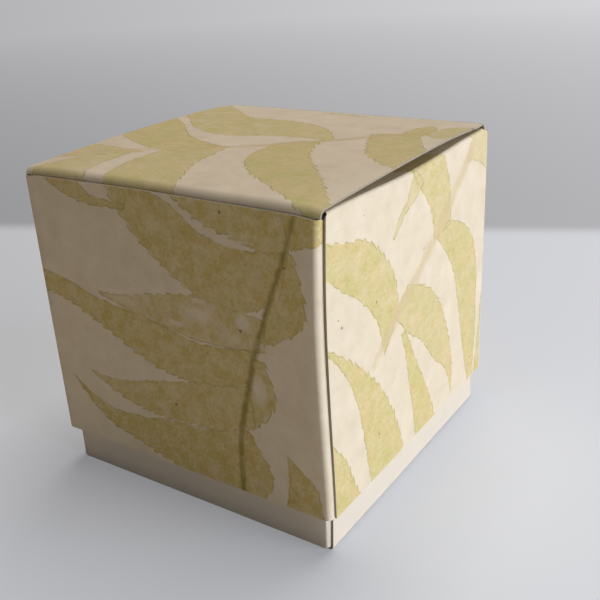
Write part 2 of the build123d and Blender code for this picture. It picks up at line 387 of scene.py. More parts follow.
class GiftBoxColours(bpy.types.PropertyGroup):
    """Colours of the paper and of the print."""

    paper: colour("Paper", "Unbleached cotton pulp", "E6DBCA")
    paper_shade: colour("Paper shade", "Thicker, darker places in the pulp", "DACEBA")
    fibre: colour("Fibre", "Stray fibres and bark specks", "6E6354")
    base_card: colour("Base card", "Whiter pulp of the base", "E0D9D2")
    # Cut edges: the card's grey core, made darker still as painted shade on every rim
    shaded_cut_edge: colour("Cut edge", "Grey core of the card", "857D72")
    leaf: colour("Leaf", "Common tone of the leaf print", "DACA9E")
    leaf_green: colour("Leaf green", "Fresher parts of the print", "CEC893")
    leaf_rust: colour("Leaf rust", "Bruised parts of the print", "C6A956")
    leaf_dark: colour("Leaf margin", "Margins and veins", "857635")
    stalk_tan: colour("Dry stalk", "Stalks that printed dry", "D0BD99")
    stalk_green: colour("Fresh stalk", "Stalks that printed fresh", "877B3A")
    floor: colour("Floor", "Pale floor", "E6EFFF")
    floor_bounce: colour("Floor bounce", "Warm tone of the light that the floor throws back", "EAE0D0")
    backdrop: colour("Backdrop", "Far floor and backdrop", "FBFBFF")


def add(tree, kind, sockets=(), **settings):
    """Adds a node and fills its sockets with constants, other sockets or other nodes' first outputs."""
    made = tree.nodes.new(f"ShaderNode{kind}")
    for name, value in settings.items():
        setattr(made, name, value)
    for key, value in sockets.items() if isinstance(sockets, dict) else enumerate(sockets):
        if isinstance(value, bpy.types.Node):
            value = next(socket for socket in value.outputs if socket.enabled)
        if isinstance(value, bpy.types.NodeSocket):
            tree.links.new(value, made.inputs[key])
        else:
            made.inputs[key].default_value = value
    return made


def group_tree(name, inputs, outputs):
    """An empty shader group with its sockets, and its input and output nodes."""
    tree = bpy.data.node_groups.new(name, "ShaderNodeTree")
    for way, sockets in (("INPUT", inputs), ("OUTPUT", outputs)):
        for socket, kind in sockets.items():
            tree.interface.new_socket(socket, in_out=way, socket_type=f"NodeSocket{kind}")
    return tree, tree.nodes.new("NodeGroupInput").outputs, tree.nodes.new("NodeGroupOutput").inputs


def handmade_paper(colours):
    """Sheet of cotton pulp: cloudy, with short fibres and specks of bark, and a dry, faintly pitted face."""
    tree, given, out = group_tree(
        "handmade_paper", {"Place": "Vector"}, {"Colour": "Color", "Height": "Float"}
    )
    place = given["Place"]
    # Clouds of pulp about 7 mm across
    cloud = add(tree, "TexNoise", {"Vector": place, "Scale": 1 / 7, "Detail": 5.0, "Roughness": 0.6})
    thick = add(tree, "MapRange", {"Value": cloud, "From Min": 0.3, "From Max": 0.7})
    pulp = add(
        tree,
        "Mix",
        {"Factor": thick, "A": (*colours.paper, 1), "B": (*colours.paper_shade, 1)},
        data_type="RGBA",
    )
    # Fibres 4 mm long, drawn 0.25 mm thick so that they show
    lying = add(tree, "Mapping", {"Vector": place, "Rotation": (0, 0, 0.6), "Scale": (0.25, 3.5, 1.0)})
    strands = add(tree, "TexNoise", {"Vector": lying, "Scale": 1.0, "Detail": 1.0})
    fibre = add(
        tree,
        "MapRange",
        {"Value": strands, "From Min": 0.66, "From Max": 0.8, "To Max": 0.22},
        interpolation_type="SMOOTHSTEP",
    )
    # Bark specks up to half a millimetre, in a few of the 5 mm cells
    cells = add(tree, "TexVoronoi", {"Vector": place, "Scale": 1 / 5})
    chosen = add(tree, "SeparateColor", {"Color": cells.outputs["Color"]})
    size = add(tree, "Math", (chosen, 0.72), operation="SUBTRACT")
    radius = add(tree, "Math", (size, 0.22), operation="MULTIPLY")
    depth = add(tree, "Math", (radius, cells.outputs["Distance"]), operation="SUBTRACT")
    speck = add(tree, "MapRange", {"Value": depth, "From Max": 0.02, "To Max": 0.75})
    strayed = add(tree, "Math", (fibre, speck), operation="MAXIMUM")
    sheet = add(tree, "Mix", {"Factor": strayed, "A": pulp, "B": (*colours.fibre, 1)}, data_type="RGBA")
    # Pits of the drying felt, 0.5 mm
    pits = add(tree, "TexNoise", {"Vector": place, "Scale": 2.0, "Detail": 2.0})
    height = add(tree, "Math", (strands, 0.5, pits), operation="MULTIPLY_ADD")
    tree.links.new(sheet.outputs["Result"], out["Colour"])
    tree.links.new(height.outputs[0], out["Height"])
    return tree


def leaflet_print():
    """One pressed leaflet: how densely it printed, and where its margin and veins are dark."""
    numbers = ("Low", "High", "Length", "Low teeth", "High teeth", "Tone", "Broken", "Soft")
    fields = ("Wobble", "Holes", "Grain", "Under density", "Under dark")
    tree, given, out = group_tree(
        "leaflet_print",
        {"Place": "Vector", **dict.fromkeys(numbers + fields, "Float")},
        {"Density": "Float", "Dark": "Float"},
    )
    place = add(tree, "SeparateXYZ", (given["Place"],))
    along = add(tree, "Math", (place.outputs["X"], given["Length"]), operation="MULTIPLY")
    across = add(tree, "Math", (place.outputs["Y"], 0.5, 0.5), operation="MULTIPLY_ADD")
    span = add(tree, "Math", (given["Length"], 2.0), operation="MULTIPLY")
    to_high = add(tree, "Math", (given["High"], across), operation="SUBTRACT")
    above = add(tree, "Math", (to_high, span), operation="MULTIPLY")
    to_low = add(tree, "Math", (across, given["Low"]), operation="SUBTRACT")
    below = add(tree, "Math", (to_low, span), operation="MULTIPLY")
    # Saw teeth about 3.6 mm apart, pointing to the tip and fading out where the leaf narrows
    width = add(tree, "Math", (above, below), operation="ADD")
    bite = add(tree, "MapRange", {"Value": width, "From Min": 1.0, "From Max": 5.0})
    teeth = add(tree, "Math", (along, 1 / 3.6, given["Wobble"]), operation="MULTIPLY_ADD")
    cut = []
    for side, phase, depth in (("Low teeth", 0.4, below), ("High teeth", 0.0, above)):
        shifted = add(tree, "Math", (teeth, phase), operation="ADD")
        tooth = add(tree, "Math", (shifted,), operation="FRACT")
        notch = add(tree, "Math", (1.0, tooth), operation="SUBTRACT")
        faded = add(tree, "Math", (notch, bite), operation="MULTIPLY")
        inset = add(tree, "Math", (faded, given[side]), operation="MULTIPLY")
        cut.append(add(tree, "Math", (depth, inset), operation="SUBTRACT"))
    edge = add(tree, "Math", cut, operation="MINIMUM")
    to_tip = add(tree, "Math", (given["Length"], along), operation="SUBTRACT")
    ends = add(tree, "Math", (along, to_tip), operation="MINIMUM")
    inside = add(tree, "Math", (edge, ends), operation="MINIMUM")
    shape = add(
        tree,
        "MapRange",
        {"Value": inside, "From Min": -0.1, "From Max": given["Soft"]},
        interpolation_type="SMOOTHSTEP",
    )
    toned = add(tree, "Math", (shape, given["Tone"]), operation="MULTIPLY")
    gaps = add(tree, "Math", (given["Broken"], given["Holes"]), operation="MULTIPLY")
    kept = add(tree, "Math", (1.0, gaps), operation="SUBTRACT")
    printed = add(tree, "Math", (toned, kept), operation="MULTIPLY")
    density = add(tree, "Math", (printed, given["Under density"]), operation="MAXIMUM")
    margin = add(
        tree, "MapRange", {"Value": inside, "From Min": 0.05, "From Max": 0.55, "To Min": 1.0, "To Max": 0.0}
    )
    broken_margin = add(tree, "Math", (margin, given["Grain"]), operation="MULTIPLY")
    # Side veins about 4 mm apart, slanting to the tip
    slant = add(tree, "Math", (below, -0.8, along), operation="MULTIPLY_ADD")
    beside = add(tree, "Math", (slant, 2.0), operation="PINGPONG")
    vein = add(tree, "MapRange", {"Value": beside, "From Max": 0.35, "To Min": 0.06, "To Max": 0.0})
    lines = add(tree, "Math", (broken_margin, vein), operation="MAXIMUM")
    drawn = add(tree, "Math", (lines, shape), operation="MULTIPLY")
    dark = add(tree, "Math", (drawn, given["Under dark"]), operation="MAXIMUM")
    tree.links.new(density.outputs[0], out["Density"])
    tree.links.new(dark.outputs[0], out["Dark"])
    return tree


def card_shader(tree, paper, base_colour):
    """Dry, uncoated card: no shine to speak of, with the pits of the sheet in its normal."""
    bump = add(
        tree, "Bump", {"Height": paper.outputs["Height"], "Strength": 0.35, "Distance": 0.06 * MM}
    )
    shader = add(
        tree,
        "BsdfPrincipled",
        {
            "Base Color": base_colour,
            "Roughness": 0.88,
            "IOR": 1.45,
            "Specular IOR Level": 0.25,
            "Normal": bump,
        },
    )
    add(tree, "OutputMaterial", {"Surface": shader})


def new_material(name):
    """An empty node material."""
    material = bpy.data.materials.new(name)
    material.use_nodes = True
    material.node_tree.nodes.clear()
    return material, material.node_tree


def plain_card(name, groups, tone=None):
    """Unprinted handmade card: cream, cloudy and dry, with a few dark fibres, or mostly of another tone."""
    material, tree = new_material(name)
    where = add(tree, "TexCoord")
    place = add(tree, "Mapping", {"Vector": where.outputs["Object"], "Scale": (1 / MM,) * 3})
    paper = add(tree, "Group", {"Place": place}, node_tree=groups["paper"])
    face = paper.outputs["Colour"]
    if tone:
        toned = add(tree, "Mix", {"Factor": 0.75, "A": face, "B": (*tone, 1)}, data_type="RGBA")
        face = toned.outputs["Result"]
    card_shader(tree, paper, face)
    return material


def stand_offs(start, line, edge):
    """How far an edge drawn straight from point to point stands off a leaflet's line, at each knot."""
    way = line.normalized()
    across = Vector((-way.y, way.x))
    steps = [Vector(point) - start for point in edge]
    places = sorted((step.dot(way) / line.length, step.dot(across)) for step in steps)
    offsets = []
    for knot in KNOTS:
        before = [place for place in places if place[0] <= knot] or places[:1]
        after = [place for place in places if place[0] > knot] or places[-1:]
        (last, offset), (following, goal) = before[-1], after[0]
        if following > last:
            offset += (goal - offset) * share(knot, last, following)
        offsets.append(offset)
    return offsets


def outline_curves(tree, wall, ends, low, high):
    """Places along and across one leaflet, and the curves of its two edges."""
    stalk_end, tip = (Vector(end) for end in ends)
    line = tip - stalk_end
    place = add(
        tree,
        "Mapping",
        {
            "Vector": wall,
            "Location": (*stalk_end, 0),
            "Rotation": (0, 0, atan2(line.y, line.x)),
            "Scale": (line.length, line.length, 1),
        },
        vector_type="TEXTURE",
    )
    run = add(tree, "SeparateXYZ", (place,))
    edges = []
    for edge in (low, high):
        curve = add(tree, "FloatCurve", {"Value": run.outputs["X"]})
        points = curve.mapping.curves[0].points
        levels = [0.5 + 0.5 * offset / line.length for offset in stand_offs(stalk_end, line, edge)]
        points[0].location, points[1].location = (0, levels[0]), (1, levels[-1])
        for knot, level in zip(KNOTS[1:-1], levels[1:-1]):
            points.new(knot, level)
        curve.mapping.update()
        edges.append(curve)
    return {"Place": place, "Low": edges[0], "High": edges[1], "Length": line.length}


def printed_card(name, pattern, shift, colours, groups, stalk, rust, flip=1.0):
    """Handmade card with leaves pressed on it: flat yellow-green shapes, bruised rusty, with dark margins."""
    material, tree = new_material(name)
    blank = add(tree, "Attribute", attribute_name=BLANK, attribute_type="GEOMETRY")
    place = blank.outputs["Vector"]
    paper = add(tree, "Group", {"Place": place}, node_tree=groups["paper"])
    moved = add(tree, "Mapping", {"Vector": place, "Location": (*shift, 0)})
    wall = add(tree, "Mapping", {"Vector": moved, "Scale": (flip, 1, 1)})
    # Pressed edges wander by about a third of a millimetre
    wander = add(tree, "TexNoise", {"Vector": wall, "Scale": 0.45, "Detail": 3.0})
    centred = add(tree, "VectorMath", (wander.outputs["Color"], (0.5, 0.5, 0.5)), operation="SUBTRACT")
    spread = add(tree, "VectorMath", {0: centred, "Scale": 1.4}, operation="SCALE")
    ragged = add(tree, "VectorMath", (wall, spread), operation="ADD")
    # Blotches where the leaf did not touch, 5 mm across, and breaks in the margins, 2.5 mm long
    blotch = add(tree, "TexNoise", {"Vector": wall, "Scale": 1 / 5, "Detail": 6.0, "Roughness": 0.65})
    holes = add(tree, "MapRange", {"Value": blotch, "From Min": 0.46, "From Max": 0.68})
    breaks = add(tree, "TexNoise", {"Vector": wall, "Scale": 1 / 2.5, "Detail": 2.0})
    grain = add(tree, "MapRange", {"Value": breaks, "From Min": 0.38, "From Max": 0.62})
    fields = {"Wobble": wander, "Holes": holes, "Grain": grain}
    density, dark = 0.0, 0.0
    for ends, low, high, (tone, low_teeth, high_teeth, broken) in pattern["leaves"]:
        leaf = add(
            tree,
            "Group",
            {
                **outline_curves(tree, ragged, ends, low, high),
                **fields,
                "Low teeth": low_teeth,
                "High teeth": high_teeth,
                "Tone": tone,
                "Broken": broken,
                "Soft": 0.3,
                "Under density": density,
                "Under dark": dark,
            },
            node_tree=groups["leaflet"],
        )
        density, dark = leaf.outputs["Density"], leaf.outputs["Dark"]
    # Places that stayed bare under a lifted leaf
    for x, y, half_width, half_height in pattern["bare"]:
        within = add(
            tree,
            "Mapping",
            {"Vector": ragged, "Location": (x, y, 0), "Scale": (half_width, half_height, 1)},
            vector_type="TEXTURE",
        )
        off = add(tree, "VectorMath", (within,), operation="LENGTH")
        kept = add(
            tree,
            "MapRange",
            {"Value": off.outputs["Value"], "From Min": 0.55, "From Max": 1.15, "To Min": 0.15},
        )
        density = add(tree, "Math", (density, kept), operation="MULTIPLY")
    # Fresh and bruised parts, 8 mm and 4 mm across
    fresh = add(tree, "TexNoise", {"Vector": wall, "Scale": 1 / 8, "Detail": 6.0, "Roughness": 0.65})
    freshness = add(
        tree, "MapRange", {"Value": fresh, "From Min": 0.38, "From Max": 0.62, "To Max": 1 - 0.2 * rust}
    )
    green = add(
        tree,
        "Mix",
        {"Factor": freshness, "A": (*colours.leaf, 1), "B": (*colours.leaf_green, 1)},
        data_type="RGBA",
    )
    bruise = add(tree, "TexNoise", {"Vector": ragged, "Scale": 1 / 4, "Detail": 8.0, "Roughness": 0.75})
    rusty = add(tree, "MapRange", {"Value": bruise, "From Min": 0.4, "From Max": 0.64, "To Max": rust})
    bruised = add(tree, "Mix", {"Factor": rusty, "A": green, "B": (*colours.leaf_rust, 1)}, data_type="RGBA")
    # Fine dark mottles where the sap soaked in, under a millimetre across
    sap = add(tree, "TexNoise", {"Vector": wall, "Scale": 1.1, "Detail": 4.0, "Roughness": 0.6})
    soaked = add(
        tree, "MapRange", {"Value": sap, "From Min": 0.45, "From Max": 0.75, "To Max": 0.1 + 0.3 * rust}
    )
    leaf_colour = add(
        tree, "Mix", {"Factor": soaked, "A": bruised, "B": (*colours.leaf_dark, 1)}, data_type="RGBA"
    )
    pressed = add(
        tree, "Mix", {"Factor": density, "A": paper.outputs["Colour"], "B": leaf_colour}, data_type="RGBA"
    )
    lines = add(tree, "Math", (dark, 0.85), operation="MULTIPLY", use_clamp=True)
    drawn = add(tree, "Mix", {"Factor": lines, "A": pressed, "B": (*colours.leaf_dark, 1)}, data_type="RGBA")
    stem = add(
        tree,
        "Group",
        {**outline_curves(tree, ragged, *pattern["stalk"]), **fields, **pattern["stalk_print"]},
        node_tree=groups["leaflet"],
    )
    stemmed = add(
        tree, "Mix", {"Factor": stem.outputs["Density"], "A": drawn, "B": (*stalk, 1)}, data_type="RGBA"
    )
    # Galls and grit under the leaf
    spots = 0.0
    for x, y, radius in pattern["specks"]:
        away = add(tree, "VectorMath", (ragged, (x, y, 0)), operation="DISTANCE").outputs["Value"]
        spot = add(
            tree,
            "MapRange",
            {"Value": away, "From Min": radius / 2, "From Max": radius, "To Min": 0.85, "To Max": 0.0},
        )
        spots = add(tree, "Math", (spot, spots), operation="MAXIMUM")
    spotted = add(tree, "Mix", {"Factor": spots, "A": stemmed, "B": (*colours.fibre, 1)}, data_type="RGBA")
    card_shader(tree, paper, spotted)
    return material


def shared_groups(colours):
    """The two node groups, made once and used by every card material."""
    made = bpy.data.node_groups
    return {
        "paper": made.get("handmade_paper") or handmade_paper(colours),
        "leaflet": made.get("leaflet_print") or leaflet_print(),
    }


def shared_cards(colours, groups):
    """Plain card and its cut edge, whose grey is partly painted shade, made once and used by every piece."""
    made = bpy.data.materials
    plain = made.get("handmade_card_plain") or plain_card("handmade_card_plain", groups)
    cut = made.get("handmade_card_cut_edge") or plain_card("handmade_card_cut_edge", groups, colours.shaded_cut_edge)
    return plain, cut


def start_row(bm, first, last, steps, place_on_blank):
    """A row of edges from one point to another, each vertex marked with its place on the flat sheet."""
    place = bm.verts.layers.float_vector.new(BLANK)
    edge = bm.edges.new([bm.verts.new(point) for point in (first, last)])
    bmesh.ops.subdivide_edges(bm, edges=[edge], cuts=steps - 1)
    for vert in bm.verts:
        vert[place] = place_on_blank(vert.co)
    return list(bm.edges)


def carry_on(
    bm, row, steps, distance, blank_way, way=(0, 0, 0), turn=0.0, pivot=(0, 0, 0), axis=(0, 0, 1), slot=0
):
    """Runs a row of edges on over a distance of card, straight or round a fold, and marks its flat places."""
    place = bm.verts.layers.float_vector[BLANK]
    on_blank = Vector((*blank_way, 0)) * distance / MM / steps
    step = Vector(way) * distance / steps
    for _ in range(steps):
        verts = list(dict.fromkeys(vert for edge in row for vert in edge.verts))
        spun = bmesh.ops.spin(
            bm,
            geom=row + verts,
            cent=pivot,
            axis=axis,
            dvec=step,
            angle=turn / steps,
            steps=1,
            use_duplicate=False,
        )["geom_last"]
        row = [item for item in spun if isinstance(item, bmesh.types.BMEdge)]
        for vert in dict.fromkeys(vert for edge in row for vert in edge.verts):
            vert[place] = vert[place] + on_blank
        for edge in row:
            for face in edge.link_faces:
                face.material_index = slot
    return row


def open_edges(bm, test):
    """Open edges of the sheet whose two ends both pass the test."""
    return [edge for edge in bm.edges if edge.is_boundary and all(test(vert.co) for vert in edge.verts)]


def near(a, b):
    """True where two lengths are the same to a hundredth of a millimetre."""
    return abs(a - b) < 0.01 * MM


def share(value, start, end):
    """How far a value lies from start to end, held between 0 and 1."""
    return min(max((value - start) / (end - start), 0.0), 1.0)


def top_levels(sizes):
    """Heights of the dust flaps and of the walls' folds below the top."""
    dust_top = COVER_HIGH.z - sizes.card - sizes.stack_gap
    ring_top = min(
        COVER_HIGH.z - sizes.front_edge_drop - sizes.front_edge_crown,
        dust_top - sizes.dust_fold_radius,
        COVER_HIGH.z - sizes.hinge_radius,
    )
    return dust_top, ring_top


def bow_places(sizes):
    """Where the top bows up to its crest and down to its shoulder, and the slopes there."""
    bow = FLAP_HIGH.z - COVER_HIGH.z
    run = 0.62 * (FLAP_HIGH.y - FLAP_LOW.y)
    slope = 2 * atan2(bow, run)
    bead_slope = slope + sizes.shoulder_turn
    shoulder_run = sizes.shoulder_radius * (sin(bead_slope) - sin(slope))
    shoulder = FLAP_LOW.y + sizes.bead_radius * (1 - sin(bead_slope)) + shoulder_run
    return bow, run, slope, bead_slope, shoulder


def dip(sizes, y):
    """How far a side wall's top lies below its ends, at one place along it."""
    return sizes.wall_sag * sin(pi * share(y, -COVER_HIGH.y, COVER_HIGH.y)) ** 2.5


def cockle(bm, sizes):
    """The slow waves that damp paste and drying leave in the card, the same in every piece at one place."""
    noise.seed_set(WAVE_SEED)
    for vert in bm.verts:
        vert.co += noise.noise_vector(vert.co / (28 * MM)) * sizes.waviness


def finish_sheet(bm, name, body, sizes, outward, materials, inner, rim):
    """Gives the folded sheet its thickness, its materials and its body."""
    bmesh.ops.recalc_face_normals(bm, faces=bm.faces)
    probe, direction = outward
    face = min(bm.faces, key=lambda f: (f.calc_center_median() - Vector(probe)).length)
    if face.normal.dot(Vector(direction)) < 0:
        bmesh.ops.reverse_faces(bm, faces=bm.faces)
    cockle(bm, sizes)
    outer_faces, outer_verts = set(bm.faces), set(bm.verts)
    bmesh.ops.solidify(bm, geom=list(bm.faces), thickness=sizes.card)
    for face in bm.faces:
        if face not in outer_faces:
            # Rims take the cut-edge card, whose dark grey is partly painted shade
            face.material_index = rim if any(vert in outer_verts for vert in face.verts) else inner
        face.smooth = True
    mesh = bpy.data.meshes.new(name)
    bm.to_mesh(mesh)
    bm.free()
    mesh.set_sharp_from_angle(angle=radians(38))
    for material in materials:
        mesh.materials.append(material)
    piece = bpy.data.objects.new(name, mesh)
    bpy.context.scene.collection.objects.link(piece)
    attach(piece, body)
    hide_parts(body)
    return piece


class GIFTBOX_OT_fold_base(bpy.types.Operator):
    """Folds the plain base, with its corner tabs"""

    bl_idname = "giftbox.fold_base"
    bl_label = "Fold Base"

    def execute(self, context):
        sizes = context.scene.gift_box_sizes
        colours = context.scene.gift_box_colours
        groups = shared_groups(colours)
        half_x, half_y, rim = BASE_HIGH.x, BASE_HIGH.y, BASE_HIGH.z
        fold, corner = sizes.base_fold_radius, sizes.base_corner_radius
        tab_plane = half_x - sizes.card - sizes.glue_gap
        end_x = tab_plane - corner
        wall, floor = rim - fold, 2 * (half_y - fold)
        bm = bmesh.new()
        row = start_row(bm, (-end_x, -half_y, rim), (end_x, -half_y, rim), 24, lambda co: co / MM)
        down, ahead = (0, -1), (0, 1)
        row = carry_on(bm, row, 24, wall, down, way=(0, 0, -1))
        row = carry_on(
            bm, row, 5, fold * QUARTER, ahead, turn=QUARTER, pivot=(0, fold - half_y, fold), axis=(1, 0, 0)
        )
        row = carry_on(bm, row, 24, floor, ahead, way=(0, 1, 0))
        row = carry_on(
            bm, row, 5, fold * QUARTER, ahead, turn=QUARTER, pivot=(0, half_y - fold, fold), axis=(1, 0, 0)
        )
        carry_on(bm, row, 24, wall, ahead, way=(0, 0, 1))
        for side in (-1, 1):
            row = open_edges(bm, lambda co: near(co.z, 0) and near(co.x, side * end_x))
            row = carry_on(bm, row, 1, half_x - fold - end_x, (side, 0), way=(side, 0, 0))
            row = carry_on(
                bm,
                row,
                5,
                fold * QUARTER,
                (side, 0),
                turn=-side * QUARTER,
                pivot=(side * (half_x - fold), 0, fold),
                axis=(0, 1, 0),
            )
            carry_on(bm, row, 24, wall, (side, 0), way=(0, 0, 1))
            for front in (-1, 1):
                row = open_edges(
                    bm,
                    lambda co: near(co.x, side * end_x)
                    and near(co.y, front * half_y)
                    and co.z > fold - 0.01 * MM,
                )
                turn = -side * front * QUARTER
                pivot = (side * end_x, front * (half_y - corner), 0)
                row = carry_on(bm, row, 6, corner * QUARTER, (side, 0), turn=turn, pivot=pivot)
                carry_on(bm, row, 4, sizes.base_tab - corner, (side, 0), way=(0, -front, 0))
        foot = half_y - fold
        edge = half_y - sizes.base_seam_setback
        for vert in bm.verts:
            co = vert.co
            if abs(co.x) > half_x - fold - 0.01 * MM:
                co.y *= 1 + (edge / foot - 1) * share(co.z, 0, COVER_LOW.z)
                co.z -= dip(sizes, co.y) * share(co.z, rim - 12 * MM, rim)
            elif near(abs(co.x), tab_plane) and abs(co.y) < half_y - corner:
                into = share(half_y - corner - abs(co.y), 0, sizes.base_tab - corner)
                low, high = fold + into * sizes.base_tab_slope, rim - into * sizes.base_tab_slope
                co.z = low + share(co.z, fold, rim) * (high - low)
            if fold < co.z and co.y < 0 < co.x < tab_plane + 0.01 * MM:
                pressed = share(co.x, 28 * MM, end_x) * (1 - share(co.y, corner - half_y, 8 * MM - half_y))
                co.x -= sizes.base_corner_bend * pressed
        whiter = plain_card("handmade_card_whiter", groups, colours.base_card)
        cut = shared_cards(colours, groups)[1]
        outward = ((0, -half_y, rim / 2), (0, -1, 0))
        finish_sheet(bm, "base_sheet", "base", sizes, outward, (whiter, cut), 0, 1)
        return {"FINISHED"}


class GIFTBOX_OT_fold_cover(bpy.types.Operator):
    """Folds the printed cover round its four corners, with its glue flap, dust flaps and hinge fold"""

    bl_idname = "giftbox.fold_cover"
    bl_label = "Fold Cover"

    def execute(self, context):
        sizes = context.scene.gift_box_sizes
        colours = context.scene.gift_box_colours
        groups = shared_groups(colours)
        half_x, half_y = COVER_HIGH.x, COVER_HIGH.y
        low, panel = COVER_LOW.z, COVER_HIGH.z
        corner = sizes.corner_radius
        seam = half_x - sizes.card - sizes.glue_gap
        ring_top = top_levels(sizes)[1]
        bend = corner * QUARTER
        left = (-1, 0)
        glue_run = sizes.glue_flap - corner
        first_u = seam - corner + bend + glue_run
        glue_end = -half_y + sizes.glue_flap
        bm = bmesh.new()
        row = start_row(
            bm,
            (seam, glue_end, low),
            (seam, glue_end, ring_top),
            36,
            lambda co: Vector((first_u, co.z, 0)) / MM,
        )
        row = carry_on(bm, row, 6, glue_run, left, way=(0, -1, 0))
        row = carry_on(bm, row, 8, bend, left, turn=-QUARTER, pivot=(seam - corner, corner - half_y, 0))
        row = carry_on(bm, row, 40, seam - corner + half_x - corner, left, way=(-1, 0, 0))
        row = carry_on(bm, row, 8, bend, left, turn=-QUARTER, pivot=(corner - half_x, corner - half_y, 0))
        flat_x, flat_y = 2 * (half_x - corner), 2 * (half_y - corner)
        relief = sizes.flap_relief
        setback = sizes.seam_setback - corner
        row = carry_on(bm, row, 1, setback, left, way=(0, 1, 0), slot=1)
        row = carry_on(bm, row, 30, flat_y - relief - setback, left, way=(0, 1, 0), slot=1)
        row = carry_on(bm, row, 1, relief, left, way=(0, 1, 0), slot=1)
        pivot = (corner - half_x, half_y - corner, 0)
        row = carry_on(bm, row, 8, bend, left, turn=-QUARTER, pivot=pivot, slot=1)
        row = carry_on(bm, row, 30, flat_x, left, way=(1, 0, 0), slot=2)
        pivot = (half_x - corner, half_y - corner, 0)
        row = carry_on(bm, row, 8, bend, left, turn=-QUARTER, pivot=pivot, slot=2)
        row = carry_on(bm, row, 1, relief, left, way=(0, -1, 0), slot=3)
        carry_on(bm, row, 40, flat_y - relief - setback, left, way=(0, -1, 0), slot=3)
        self.fold_dust_flaps(bm, sizes)
        self.fold_hinge(bm, sizes, ring_top)
        self.trim(bm, sizes, low, ring_top, seam)
        # How far each wall's own middle lies from the middle of the front along the sheet
        shift = seam - corner + half_x - corner + bend
        shifts = []
        for run in (flat_y, flat_x, flat_y):
            shifts.append((half_x - corner + shift - seam + corner) / MM)
            shift += run + bend
        print_args = (colours, groups, colours.stalk_tan, 0.35)
        front = printed_card(
            "handmade_card_print_front", FRONT_PRINT, (0, 0), colours, groups, colours.stalk_green, 0.8
        )
        left_wall = printed_card(
            "handmade_card_print_left", RIGHT_PRINT, (shifts[0], 0), *print_args, flip=-1.0
        )
        back_wall = printed_card(
            "handmade_card_print_back", FRONT_PRINT, (shifts[1], 0), *print_args, flip=-1.0
        )
        right_wall = printed_card("handmade_card_print_right", RIGHT_PRINT, (shifts[2], 0), *print_args)
        plain, cut = shared_cards(colours, groups)
        materials = (front, left_wall, back_wall, right_wall, plain, cut)
        outward = ((0, -half_y, panel / 2), (0, -1, 0))
        finish_sheet(bm, "cover_sheet", "cover", sizes, outward, materials, 4, 5)
        return {"FINISHED"}

    def fold_dust_flaps(self, bm, sizes):
        """Bends the tops of the side walls inwards and tapers them."""
        half_x, half_y = COVER_HIGH.x, COVER_HIGH.y
        ring_top = top_levels(sizes)[1]
        radius, droop = sizes.dust_fold_radius, sizes.dust_flap_droop
        free_end = half_x - radius * (1 + sin(droop)) - sizes.dust_flap * cos(droop)
        front = sizes.seam_setback - half_y
        back = half_y - sizes.corner_radius - sizes.flap_relief
        panel_half = FLAP_HIGH.x
        clear = bow_places(sizes)[-1] + sizes.tuck_clearance
        up = (0, 1)
        for side, slot in ((-1, 1), (1, 3)):
            row = open_edges(
                bm,
                lambda co: near(co.x, side * half_x)
                and near(co.z, ring_top)
                and front - 0.01 * MM < co.y < back + 0.01 * MM,
            )
            before = set(bm.verts)
            pivot = (side * (half_x - radius), 0, ring_top)
            turn = QUARTER + droop
            row = carry_on(
                bm, row, 8, radius * turn, up, turn=-side * turn, pivot=pivot, axis=(0, 1, 0), slot=slot
            )
            carry_on(bm, row, 8, sizes.dust_flap, up, way=(-side * cos(droop), 0, -sin(droop)), slot=slot)
            for vert in bm.verts:
                if vert in before:
                    continue
                into_fold = share(half_x - abs(vert.co.x), 0, half_x - panel_half)
                into_flap = share(panel_half - abs(vert.co.x), 0, panel_half - free_end)
                low = front + into_fold * (clear - front) + into_flap * sizes.dust_flap_taper
                run_in = sizes.dust_flap_taper - sizes.dust_flap_notch
                high = back - into_fold * sizes.dust_flap_notch - into_flap * run_in
                vert.co.y = low + share(vert.co.y, front, back) * (high - low)

    def fold_hinge(self, bm, sizes, ring_top):
        """Bends the top of the back wall forwards to the crease of the top flap."""
        half_x, half_y = COVER_HIGH.x, COVER_HIGH.y
        fold_start = COVER_HIGH.z - sizes.hinge_radius
        reach = half_x - sizes.corner_radius + 0.01 * MM
        row = open_edges(bm, lambda co: near(co.y, half_y) and near(co.z, ring_top) and abs(co.x) < reach)
        row = carry_on(bm, row, 1, fold_start - ring_top, (0, 1), way=(0, 0, 1), slot=2)
        pivot = (0, half_y - sizes.hinge_radius, fold_start)
        carry_on(
            bm,
            row,
            8,
            sizes.hinge_radius * QUARTER,
            (0, 1),
            turn=QUARTER,
            pivot=pivot,
            axis=(1, 0, 0),
            slot=2,
        )

